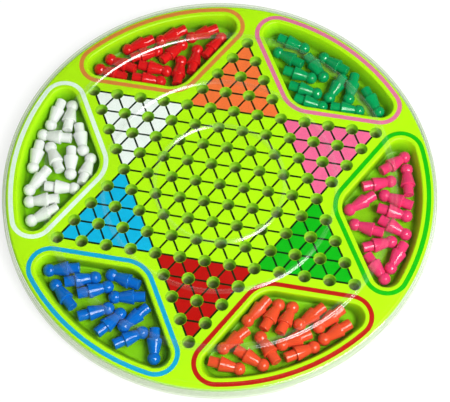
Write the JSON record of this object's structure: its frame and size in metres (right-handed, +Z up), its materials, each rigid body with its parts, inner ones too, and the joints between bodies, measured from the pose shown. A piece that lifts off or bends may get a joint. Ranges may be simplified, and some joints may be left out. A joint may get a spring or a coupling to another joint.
{
  "type": "chinese checkers board",
  "caption": "Round chinese checkers board with a star of peg sockets, sunk storage wells holding loose coloured pawns, and a clear lift-off lid with raised rings.",
  "frame": {"origin": "centre of the board's underside, where its wells stand on the table", "axes": "+Z up, +Y towards the orange star point, +X towards the well of pink pawns"},
  "size_m": [0.2856, 0.2856, 0.0151],
  "materials": {
    "board": "lime green moulded plastic",
    "lid": "clear moulded plastic",
    "print_pink": "printed star point",
    "print_orange": "printed star point",
    "print_white": "printed star point",
    "print_blue": "printed star point",
    "print_red": "printed star point",
    "print_green": "printed star point",
    "pawn_pink": "glossy moulded plastic",
    "pawn_green": "glossy moulded plastic",
    "pawn_red": "glossy moulded plastic",
    "pawn_white": "glossy moulded plastic",
    "pawn_blue": "glossy moulded plastic",
    "pawn_orange": "glossy moulded plastic"
  },
  "bodies": {
    "board": {"field": "board", "star_point_pink": "print_pink", "star_point_orange": "print_orange", "star_point_white": "print_white", "star_point_blue": "print_blue", "star_point_red": "print_red", "star_point_green": "print_green", "well_pink": "board", "well_green": "board", "well_red": "board", "well_white": "board", "well_blue": "board", "well_orange": "board"},
    "lid": {"lid_disc": "lid", "lid_skirt": "lid"},
    "pawns_pink": {"pawn_pink_1": "pawn_pink", "pawn_pink_2": "pawn_pink", "pawn_pink_3": "pawn_pink", "pawn_pink_4": "pawn_pink", "pawn_pink_5": "pawn_pink", "pawn_pink_6": "pawn_pink", "pawns_pink_rest": "pawn_pink"},
    "pawns_green": {"pawn_green_1": "pawn_green", "pawn_green_2": "pawn_green", "pawn_green_3": "pawn_green", "pawn_green_4": "pawn_green", "pawn_green_5": "pawn_green", "pawn_green_6": "pawn_green", "pawns_green_rest": "pawn_green"},
    "pawns_red": {"pawn_red_1": "pawn_red", "pawn_red_2": "pawn_red", "pawn_red_3": "pawn_red", "pawn_red_4": "pawn_red", "pawn_red_5": "pawn_red", "pawn_red_6": "pawn_red", "pawns_red_rest": "pawn_red"},
    "pawns_white": {"pawn_white_1": "pawn_white", "pawn_white_2": "pawn_white", "pawn_white_3": "pawn_white", "pawn_white_4": "pawn_white", "pawn_white_5": "pawn_white", "pawn_white_6": "pawn_white", "pawns_white_rest": "pawn_white"},
    "pawns_blue": {"pawn_blue_1": "pawn_blue", "pawn_blue_2": "pawn_blue", "pawn_blue_3": "pawn_blue", "pawn_blue_4": "pawn_blue", "pawn_blue_5": "pawn_blue", "pawn_blue_6": "pawn_blue", "pawns_blue_rest": "pawn_blue"},
    "pawns_orange": {"pawn_orange_1": "pawn_orange", "pawn_orange_2": "pawn_orange", "pawn_orange_3": "pawn_orange", "pawn_orange_4": "pawn_orange", "pawn_orange_5": "pawn_orange", "pawn_orange_6": "pawn_orange", "pawns_orange_rest": "pawn_orange"}
  },
  "joints": [
    {"name": "lid_lift", "type": "slide", "parent": "board", "child": "lid", "axis": [0, 0, 1], "range_m": [0, 0.12]},
    {"name": "pink_lift", "type": "slide", "parent": "board", "child": "pawns_pink", "axis": [0, 0, 1], "range_m": [0, 0.06]},
    {"name": "green_lift", "type": "slide", "parent": "board", "child": "pawns_green", "axis": [0, 0, 1], "range_m": [0, 0.06]},
    {"name": "red_lift", "type": "slide", "parent": "board", "child": "pawns_red", "axis": [0, 0, 1], "range_m": [0, 0.06]},
    {"name": "white_lift", "type": "slide", "parent": "board", "child": "pawns_white", "axis": [0, 0, 1], "range_m": [0, 0.06]},
    {"name": "blue_lift", "type": "slide", "parent": "board", "child": "pawns_blue", "axis": [0, 0, 1], "range_m": [0, 0.06]},
    {"name": "orange_lift", "type": "slide", "parent": "board", "child": "pawns_orange", "axis": [0, 0, 1], "range_m": [0, 0.06]}
  ],
  "couplings": [
    {"joint": "pink_lift", "follows": "lid_lift", "ratio": 0.5},
    {"joint": "green_lift", "follows": "lid_lift", "ratio": 0.5},
    {"joint": "red_lift", "follows": "lid_lift", "ratio": 0.5},
    {"joint": "white_lift", "follows": "lid_lift", "ratio": 0.5},
    {"joint": "blue_lift", "follows": "lid_lift", "ratio": 0.5},
    {"joint": "orange_lift", "follows": "lid_lift", "ratio": 0.5}
  ]
}
